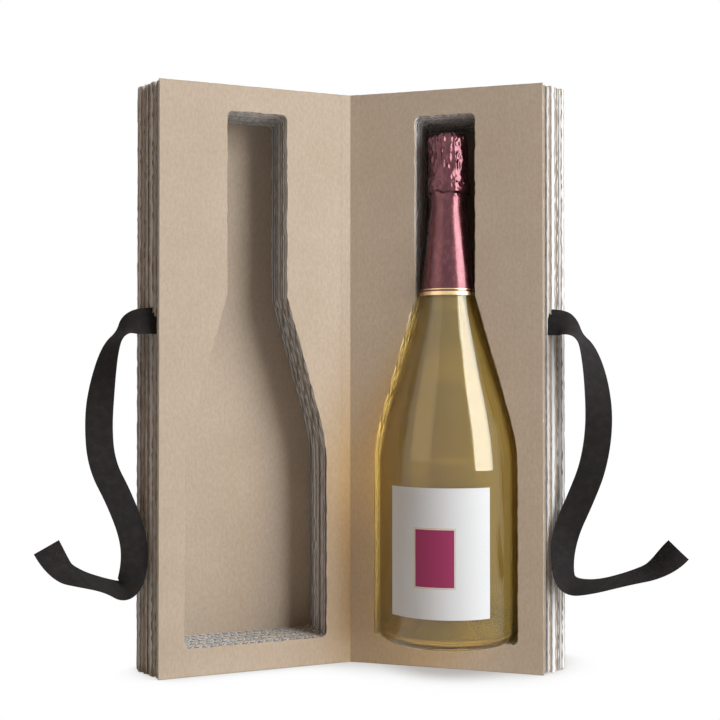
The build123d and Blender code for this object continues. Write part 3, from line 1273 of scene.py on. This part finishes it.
@dataclass
class Ribbon:
    """A flat woven tape that leaves the fore-edge between the second and the third sheet."""

    half: HalfFrame
    route: tuple[TapePoint, ...]
    fore_edge: float = 151.7 * MM
    pocket_depth: float = 10.226 * MM
    width: float = 20.0 * MM
    thick: float = 0.55 * MM
    columns: int = 6
    roll_unit: float = 0.001
    shade_angle: float = 50.0

    def lines(self) -> tuple[list[Vector], list[float]]:
        """Reads the smooth centreline and the roll along it from their NURBS splines.

        Returns:
            The centreline in board coordinates and the roll in radians at each of its points.
        """
        places = [(self.fore_edge + p.out * MM, self.pocket_depth, p.height * MM) for p in self.route]
        rolls = [(p.roll * self.roll_unit, 0.0, 0.0) for p in self.route]
        turned = [math.radians(point.x / self.roll_unit) for point in nurbs_points(rolls)]
        return nurbs_points(places), turned

    def build(self, finish: bpy.types.Material) -> bpy.types.Object:
        """Makes the tape along its line.

        Args:
            finish: The tape's material.

        Returns:
            The ribbon, which replaces its CAD node.
        """
        line, rolls = self.lines()
        points, uvs = [], []
        run = 0.0
        for index, (here, roll) in enumerate(zip(line, rolls)):
            ahead = line[min(index + 1, len(line) - 1)] - line[max(index - 1, 0)]
            along = ahead.normalized()
            level = along.cross(Vector((0.0, 1.0, 0.0))).normalized()
            facing = along.cross(level)
            across = level * math.cos(roll) - facing * math.sin(roll)
            if index:
                run += (here - line[index - 1]).length
            for column in range(self.columns + 1):
                share = column / self.columns - 0.5
                points.append(here + across * self.width * share)
                uvs.append((share * self.width, run))
        name = f"{self.half.side.prefix}_tape"
        obj = mesh_object(name, points, faces=grid_faces(len(line), self.columns + 1))
        layer = obj.data.uv_layers.new(name="tape")
        for loop in obj.data.loops:
            layer.data[loop.index].uv = uvs[loop.vertex_index]
        apply_modifier(obj, "SOLIDIFY", thickness=self.thick, offset=0.0)
        obj.data.transform(self.half.matrix())
        with editing(obj):
            bpy.ops.mesh.normals_make_consistent(inside=False)
        obj.data.materials.append(finish)
        smooth(obj, self.shade_angle)
        path = [self.half.matrix() @ point for point in line]
        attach(obj, self.half.side.body)
        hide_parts(f"{self.half.side.prefix}_ribbon")
        leaves = self.half.point(self.fore_edge, self.pocket_depth, self.route[0].height * MM)
        return obj


LEFT_ROUTE = (
    TapePoint(-10, 267.4, 0), TapePoint(9.5, 267.4, 8), TapePoint(19.3, 264.4, 35),
    TapePoint(26, 258.4, 82), TapePoint(33.8, 247.4, 62), TapePoint(39.4, 222.4, 38),
    TapePoint(42.7, 192.4, 5), TapePoint(40.4, 160.4, 0), TapePoint(27, 134.3, 0),
    TapePoint(15.9, 104.3, 0), TapePoint(15.8, 80.3, 10), TapePoint(22.4, 64.3, 50),
    TapePoint(37, 70.8, 70), TapePoint(56.7, 77.3, 62), TapePoint(70.5, 84.3, 35),
    TapePoint(79.3, 101.3, 0),
)
RIGHT_ROUTE = (
    TapePoint(-10, 266.9, 0), TapePoint(11, 266.9, 5), TapePoint(19, 263.4, 45),
    TapePoint(25.8, 256.4, 80), TapePoint(32.6, 246.4, 60), TapePoint(38.5, 222.4, 35),
    TapePoint(41, 190.3, 8), TapePoint(36.5, 158.3, 3), TapePoint(26.8, 133.2, 0),
    TapePoint(15.6, 108.1, 15), TapePoint(12.5, 86, 38), TapePoint(15.2, 66, 50),
    TapePoint(35.3, 66, 72), TapePoint(63.1, 74.5, 72), TapePoint(83.8, 82, 55),
    TapePoint(97.8, 97, 0),
)


@dataclass(frozen=True)
class Crease:
    """One kind of crease in the foil: noise round the neck and up it, sharpened to ridges where asked."""

    turns: float
    rise: float
    amount: float
    layer: Point2 = (0.0, 0.0)
    sharp: float = 0.0

    def stand(self, ring: Vector, height: float) -> float:
        """How far the crease stands out.

        Args:
            ring: Direction from the bottle's axis.
            height: Height above the bottle's base, in millimetres.

        Returns:
            The distance, in millimetres.
        """
        value = noise.noise(ring * self.turns + Vector((*self.layer, height * self.rise)))
        return self.amount * (1.0 - abs(value) * self.sharp if self.sharp else value)


@dataclass(frozen=True)
class FoilCreases:
    """How the foil is gathered on the cage, pleated on the head, lapped at its seam and torn at the head's hem."""

    cage_middle: float = 352.0
    cage_spread: float = 9.0
    cage: tuple[Crease, ...] = (Crease(2.4, 0.17, 0.9), Crease(4.2, 0.28, 0.8, (3.0, 0.0), 2.0))
    head_low: float = 360.0
    head_blend: float = 6.0
    head: tuple[Crease, ...] = (Crease(5.0, 0.05, 0.7, (0.0, 7.0), 3.0), Crease(3.4, 0.16, 0.7, (9.0, 0.0), 2.6))
    sleeve_low: float = 276.0
    sleeve_blend: float = 40.0
    sleeve: Crease = Crease(1.6, 0.02, 0.10, (5.0, 0.0))
    seam_angle: float = -92.0
    seam_lap: float = 0.5
    sleeve_seam: float = 0.55
    head_seam: float = 0.45
    hem_middle: float = 347.0
    hem_spread: float = 5.0
    hem_turns: float = 2.3
    hem_layer: float = 4.0
    hem_swing: float = 2.6

    def stand(self, angle: float, height: float) -> float:
        """How far the foil stands out at a place.

        Args:
            angle: Angle round the bottle's axis, in radians.
            height: Height above the bottle's base, in millimetres.

        Returns:
            The distance, in millimetres.
        """
        ring = Vector((math.cos(angle), math.sin(angle), 0.0))
        cage = math.exp(-((height - self.cage_middle) / self.cage_spread) ** 2)
        head = clamped((height - self.head_low) / self.head_blend)
        sleeve = clamped((height - self.sleeve_low) / self.sleeve_blend) * (1.0 - head)
        past_seam = (angle - math.radians(self.seam_angle)) % math.tau
        seam = max(0.0, 1.0 - past_seam / self.seam_lap)
        gathered = cage * sum(crease.stand(ring, height) for crease in self.cage)
        pleated = head * (sum(crease.stand(ring, height) for crease in self.head) + self.head_seam * seam)
        draped = sleeve * (self.sleeve.stand(ring, height) + self.sleeve_seam * seam)
        return gathered + pleated + draped

    def hem_shift(self, angle: float, height: float) -> float:
        """How far the ragged hem of the foil's head is pulled up or down at a place.

        Args:
            angle: Angle round the bottle's axis, in radians.
            height: Height above the bottle's base, in millimetres.

        Returns:
            The distance, in millimetres.
        """
        ring = Vector((math.cos(angle), math.sin(angle), self.hem_layer))
        near = math.exp(-((height - self.hem_middle) / self.hem_spread) ** 2)
        return self.hem_swing * noise.noise(ring * self.hem_turns) * near


@dataclass
class Bottle:
    """The bottle in the right half: glass, wine, foil, label, and the cork and cage under the foil."""

    radius: float = 54.0
    heel_round: float = 7.0
    shoulder: tuple[Point2, ...] = ((54.0, 133.0), (48.5, 171.0), (35.0, 218.0), (24.1, 256.2), (21.5, 270.84))
    neck_high_radius: float = 13.2
    collar_low: float = 347.0
    lip_height: float = 366.0
    bore_radius: float = 9.5
    glass_thick: float = 4.2
    punt_height: float = 30.0
    punt_radius: float = 41.0
    punt_round: float = 9.0
    wine_level: float = 278.0
    wine_sink: float = 0.15
    foil_low: float = 266.2
    foil_stand: float = 0.45
    foil_thick: float = 0.25
    foil_step: float = 1.0
    foil_flat_radius: float = 12.0
    foil_sleeve_high: float = 336.0
    foil_hem: float = 345.0
    foil_head: tuple[Point2, ...] = (
        (16.2, 346.6), (15.6, 353.0), (14.5, 362.0), (14.5, 389.0), (11.0, 393.0), (0.0, 393.2),
    )
    foil_rounds: tuple[float, ...] = (0, 8.0, 12.0, 0.6, 0.6, 4.0, 4.0, 4.0, 3.0, 0)
    foil_shade_angle: float = 60.0
    punt_top_share: float = 0.3
    base_ring_round: float = 3.0
    neck_slope: Point2 = (-0.12, 1.0)
    shade_angle: float = 40.0
    lathe_steps: int = 128
    label_low: float = 24.0
    label_height: float = 97.0
    label_half_angle: float = 42.7
    label_turn: float = 15.0
    label_thick: float = 0.2
    label_stand: float = 0.1
    label_columns: int = 48
    label_rows: int = 8
    join_gap: float = 0.00001

    def __post_init__(self) -> None:
        """Finds the bottle's axis and base on its CAD node."""
        low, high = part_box("bottle_glass")
        self.axis = Vector(((low.x + high.x) / 2, (low.y + high.y) / 2, 0.0))
        self.base = low.z

    def lathe(self, name: str, profile: Sequence[Point2]) -> bpy.types.Object:
        """Spins a profile about the bottle's axis.

        Args:
            name: Name of the piece.
            profile: Radius and height above the base, in millimetres.

        Returns:
            The closed, smooth piece.
        """
        points = [
            (self.axis.x + radius * MM, self.axis.y, self.base + height * MM) for radius, height in profile
        ]
        obj = mesh_object(name, points, edges=[(n, n + 1) for n in range(len(points) - 1)])
        with editing(obj):
            bpy.ops.mesh.spin(
                steps=self.lathe_steps, angle=math.tau, center=tuple(self.axis), axis=(0.0, 0.0, 1.0)
            )
            bpy.ops.mesh.select_all(action="SELECT")
            bpy.ops.mesh.remove_doubles(threshold=self.join_gap)
            bpy.ops.mesh.normals_make_consistent(inside=False)
        smooth(obj, self.shade_angle)
        return obj

    def hollow(self, sink: float) -> list[Point2]:
        """Inner wall of the glass from the bore to the punt, moved into the glass.

        Args:
            sink: How far the line is moved into the glass.

        Returns:
            The line as radius and height.
        """
        thick = self.glass_thick - sink
        wall, floor = self.radius - thick, thick
        curve = self.shoulder_line(thick)
        base = rounded(
            [
                curve[0],
                (wall, floor),
                (self.punt_radius, floor),
                (self.punt_radius * self.punt_top_share, self.punt_height + floor),
                (0.0, self.punt_height + floor),
            ],
            [0, self.heel_round, self.punt_round, self.punt_round, 0],
            closed=False,
        )
        bore = self.bore_radius + sink
        return [(bore, self.lip_height), (bore, self.collar_low), *reversed(curve), *base[1:]]

    def shoulder_line(self, inset: float) -> list[Point2]:
        """The shoulder's smooth line from the body to the neck, moved inwards."""
        return flowing([(radius - inset, height) for radius, height in self.shoulder], (0.0, 1.0), self.neck_slope)

    def build_glass(self) -> bpy.types.Object:
        """Makes the hollow glass with its punt, heel, shoulder and collar.

        Returns:
            The glass, which replaces its CAD node.
        """
        base = rounded(
            [
                (0.0, self.punt_height),
                (self.punt_radius * self.punt_top_share, self.punt_height),
                (self.punt_radius, 0.0),
                (self.radius, 0.0),
                (self.radius, self.shoulder[0][1]),
            ],
            [0, self.punt_round, self.base_ring_round, self.heel_round, 0],
            closed=False,
        )
        lip = [(self.neck_high_radius, self.collar_low), (self.neck_high_radius, self.lip_height)]
        obj = self.lathe("glass_bottle", base[:-1] + self.shoulder_line(0.0) + lip + self.hollow(0.0))
        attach(obj, Side.RIGHT.body)
        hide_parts("bottle_glass")
        obj.data.materials.append(GlassFinish().build())
        return obj

    def build_wine(self) -> bpy.types.Object:
        """Makes the wine, which wets the glass all round.

        Returns:
            The wine, which replaces its CAD node.
        """
        wall = self.hollow(self.wine_sink)
        below = [point for point in wall if point[1] < self.wine_level]
        over = [point for point in wall if point[1] >= self.wine_level][-1]
        share = (self.wine_level - below[0][1]) / (over[1] - below[0][1])
        rim = below[0][0] + (over[0] - below[0][0]) * share
        obj = self.lathe("wine_fill", [(0.0, self.wine_level), (rim, self.wine_level)] + below)
        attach(obj, Side.RIGHT.body)
        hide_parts("wine")
        obj.data.materials.append(WineFinish().build())
        return obj

    def build_foil(self) -> bpy.types.Object:
        """Makes the crumpled foil over the cork, the cage and the neck.

        Returns:
            The foil, which replaces its CAD node.
        """
        neck_low, neck_start = self.shoulder[-1]
        slope = (neck_low - self.neck_high_radius) / (self.collar_low - neck_start)
        neck_radius = neck_low - slope * (self.foil_sleeve_high - neck_start)
        under = min(self.shoulder_line(0.0), key=lambda point: abs(point[1] - self.foil_low))
        sleeve = [under, (neck_low, neck_start), (neck_radius, self.foil_sleeve_high), (neck_radius, self.foil_hem)]
        outline = rounded([*sleeve, *self.foil_head], self.foil_rounds, closed=False)
        line: list[Point2] = []
        for here, there in zip(outline, outline[1:]):
            pieces = max(1, round(math.dist(here, there) / self.foil_step))
            line += [
                (here[0] + (there[0] - here[0]) * n / pieces, here[1] + (there[1] - here[1]) * n / pieces)
                for n in range(pieces)
            ]
        line.append(outline[-1])
        obj = self.lathe("crumpled_foil", [(r + self.foil_stand if r else 0.0, h) for r, h in line])
        creases = FoilCreases()
        for vertex in obj.data.vertices:
            away = Vector((vertex.co.x - self.axis.x, vertex.co.y - self.axis.y, 0.0))
            if away.length > MM:
                self.crumple(vertex, away, creases)
        apply_modifier(obj, "SOLIDIFY", thickness=self.foil_thick * MM, offset=-1.0)
        smooth(obj, self.foil_shade_angle)
        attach(obj, Side.RIGHT.body)
        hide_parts("foil_capsule")
        obj.data.materials.append(FoilFinish("burgundy_foil", self.base + self.foil_low * MM).build())
        return obj

    def crumple(self, vertex: bpy.types.MeshVertex, away: Vector, creases: FoilCreases) -> None:
        """Moves a point of the foil as its creases have it.

        Args:
            vertex: The point.
            away: Its place from the bottle's axis.
            creases: The foil's creases.
        """
        angle = math.atan2(away.y, away.x)
        height = (vertex.co.z - self.base) / MM
        out = creases.stand(angle, height) * min(away.length / (self.foil_flat_radius * MM), 1.0)
        vertex.co += (away.normalized() * out + Vector((0.0, 0.0, creases.hem_shift(angle, height)))) * MM

    def build_label(self) -> bpy.types.Object:
        """Makes the paper label, wrapped on the body, with its UV map in metres.

        Returns:
            The label, which replaces its CAD node.
        """
        radius = (self.radius + self.label_stand + self.label_thick / 2) * MM
        middle = -90.0 - self.label_turn
        width = 2 * math.radians(self.label_half_angle) * radius
        points, uvs = [], []
        for row in range(self.label_rows + 1):
            up = row / self.label_rows * self.label_height * MM
            for column in range(self.label_columns + 1):
                share = column / self.label_columns
                angle = math.radians(middle + (2 * share - 1) * self.label_half_angle)
                rise = self.base + self.label_low * MM + up
                points.append(self.axis + Vector((radius * math.cos(angle), radius * math.sin(angle), rise)))
                uvs.append((share * width, up))
        faces = grid_faces(self.label_rows + 1, self.label_columns + 1)
        obj = mesh_object("wrapped_label", points, faces=faces)
        layer = obj.data.uv_layers.new(name="label")
        for loop in obj.data.loops:
            layer.data[loop.index].uv = uvs[loop.vertex_index]
        apply_modifier(obj, "SOLIDIFY", thickness=self.label_thick * MM, offset=0.0)
        smooth(obj, self.shade_angle)
        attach(obj, Side.RIGHT.body)
        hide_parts("front_label")
        obj.data.materials.append(LabelFinish("label_paper", width, self.label_height * MM).build())
        return obj

    def dress_hidden(self) -> None:
        """Finishes the cork and the wire cage, which stay as the CAD has them."""
        cork = GrainFinish("natural_cork", (0.55, 0.38, 0.22, 1.0), (0.36, 0.22, 0.12, 1.0), 320.0)
        wire = GrainFinish("drawn_wire", (0.62, 0.61, 0.60, 1.0), (0.5, 0.5, 0.5, 1.0), 900.0, 0.9, 0.35)
        for node, finish in (("cork", cork), ("wire_cage", wire)):
            mesh = frame["nodes"][node].data
            mesh.materials.clear()
            mesh.materials.append(finish.build())

    def build(self) -> None:
        """Makes every piece of the bottle."""
        for piece in (self.build_glass(), self.build_wine(), self.build_foil(), self.build_label()):
            LOG.info("%s: %d faces", piece.name, len(piece.data.polygons))
        self.dress_hidden()


@dataclass
class Lamp:
    """A soft area light, placed round the object."""

    name: str
    azimuth: float
    elevation: float
    distance: float
    size: Point2
    power: float
    colour: tuple[float, float, float] = (1.0, 1.0, 1.0)

    def build(self, target: Vector) -> None:
        """Adds the lamp; azimuth 0 is on the viewer's side, positive to the right.

        Args:
            target: The point that the lamp is aimed at.
        """
        turn, rise = math.radians(self.azimuth), math.radians(self.elevation)
        away = Vector((math.sin(turn) * math.cos(rise), -math.cos(turn) * math.cos(rise), math.sin(rise)))
        data = bpy.data.lights.new(self.name, "AREA")
        data.shape = "RECTANGLE"
        data.size, data.size_y = self.size
        data.energy = self.power
        data.color = self.colour
        lamp = bpy.data.objects.new(self.name, data)
        lamp.location = target + away * self.distance
        lamp.rotation_euler = away.to_track_quat("Z", "Y").to_euler()
        bpy.context.scene.collection.objects.link(lamp)


@dataclass
class Studio:
    """Camera, lights, pale floor and white background."""

    camera_place: tuple[float, float, float] = (-0.0342, -0.8820, 0.22806)
    camera_yaw: float = 2.546
    camera_pitch: float = 0.652
    focal_pixels: float = 1112.8
    sensor: float = 36.0
    target: tuple[float, float, float] = (0.0, 0.0, 0.22)
    ambient: float = 0.105
    ambient_tone: Colour = (1.0, 0.68, 0.46, 1.0)
    floor_side: float = 8.0
    floor_height: float = -0.0002
    floor_tone: Colour = (0.85, 0.85, 0.85, 1.0)
    white: Colour = (1.0, 1.0, 1.0, 1.0)
    shadow_reach: float = 0.06
    shadow_tone: Colour = (0.42, 0.40, 0.38, 1.0)
    lamps: tuple[Lamp, ...] = (
        Lamp("key_light", 55.0, 16.0, 2.4, (1.4, 1.95), 68.0, (0.985, 1.0, 1.0)),
        Lamp("fill_light", -52.0, 20.0, 2.4, (1.6, 1.6), 4.6, (1.0, 0.82, 0.64)),
    )

    def build_camera(self) -> None:
        """Adds the camera at the photograph's place."""
        data = bpy.data.cameras.new("camera")
        data.sensor_width = self.sensor
        data.lens = self.focal_pixels / IMAGE_SIDE * self.sensor
        camera = bpy.data.objects.new("camera", data)
        camera.location = self.camera_place
        camera.rotation_euler = (math.radians(90.0 + self.camera_pitch), 0.0, math.radians(-self.camera_yaw))
        bpy.context.scene.collection.objects.link(camera)
        bpy.context.scene.camera = camera

    def build_world(self) -> None:
        """Makes the background white to the eye, and a soft ambient light."""
        world = bpy.data.worlds.new("white_studio")
        world.use_nodes = True
        wiring = Wiring(world.node_tree)
        wiring.tree.nodes.clear()
        path = wiring.node("LightPath")
        seen = wiring.math("MAXIMUM", path.outputs["Is Camera Ray"], path.outputs["Is Glossy Ray"])
        seen = wiring.math("MAXIMUM", seen, path.outputs["Is Transmission Ray"])
        soft = wiring.node("Background", {"Color": self.ambient_tone, "Strength": self.ambient})
        white = wiring.node("Background", {"Color": self.white, "Strength": 1.0})
        mixed = wiring.node("MixShader", {0: seen, 1: soft.outputs[0], 2: white.outputs[0]})
        out = wiring.node("OutputWorld")
        wiring.put(out.inputs["Surface"], mixed.outputs[0])
        bpy.context.scene.world = world

    def build_floor(self) -> None:
        """Adds the pale floor; to the camera it glows white, with a painted contact shadow."""
        deselect_all()
        bpy.ops.mesh.primitive_plane_add(size=self.floor_side, location=(0.0, 0.0, self.floor_height))
        floor = bpy.context.active_object
        floor.name = "floor"
        material = bpy.data.materials.new("pale_floor")
        material.use_nodes = True
        wiring = Wiring(material.node_tree)
        wiring.tree.nodes.clear()
        path = wiring.node("LightPath")
        seen = wiring.math("MAXIMUM", path.outputs["Is Camera Ray"], path.outputs["Is Glossy Ray"])
        seen = wiring.math("MAXIMUM", seen, path.outputs["Is Transmission Ray"])
        # Painted contact shadow: the camera's white floor is darkened towards the shadow tone where ambient occlusion
        # finds the object near.
        near = wiring.node("AmbientOcclusion", {"Distance": self.shadow_reach}, samples=16)
        shade = wiring.steps(near.outputs["AO"], 0.0, 0.85)
        white = wiring.mix(shade, self.shadow_tone, self.white)
        matt = wiring.node("BsdfDiffuse", {"Color": self.floor_tone})
        glow = wiring.node("Emission", {"Color": white, "Strength": 1.0})
        mixed = wiring.node("MixShader", {0: seen, 1: matt.outputs[0], 2: glow.outputs[0]})
        out = wiring.node("OutputMaterial")
        wiring.put(out.inputs["Surface"], mixed.outputs[0])
        floor.data.materials.append(material)

    def build(self) -> None:
        """Makes the whole studio."""
        bpy.context.scene.view_settings.view_transform = "Standard"
        self.build_camera()
        self.build_world()
        self.build_floor()
        for lamp in self.lamps:
            lamp.build(Vector(self.target))


def main() -> None:
    """Builds the studio and every piece of the box."""
    logging.basicConfig(level=logging.INFO, format="%(name)s %(message)s")
    Studio().build()
    tape = TapeFinish().build()
    Ribbon(HalfFrame.of(Side.LEFT), LEFT_ROUTE).build(tape)
    Ribbon(HalfFrame.of(Side.RIGHT), RIGHT_ROUTE).build(tape)
    board = BoardFinishes.kraft()
    for side in Side:
        BoxHalf(HalfFrame.of(side)).build(board)
    FoldStrip().build(board)
    Bottle().build()


if __name__ == "__main__":
    main()
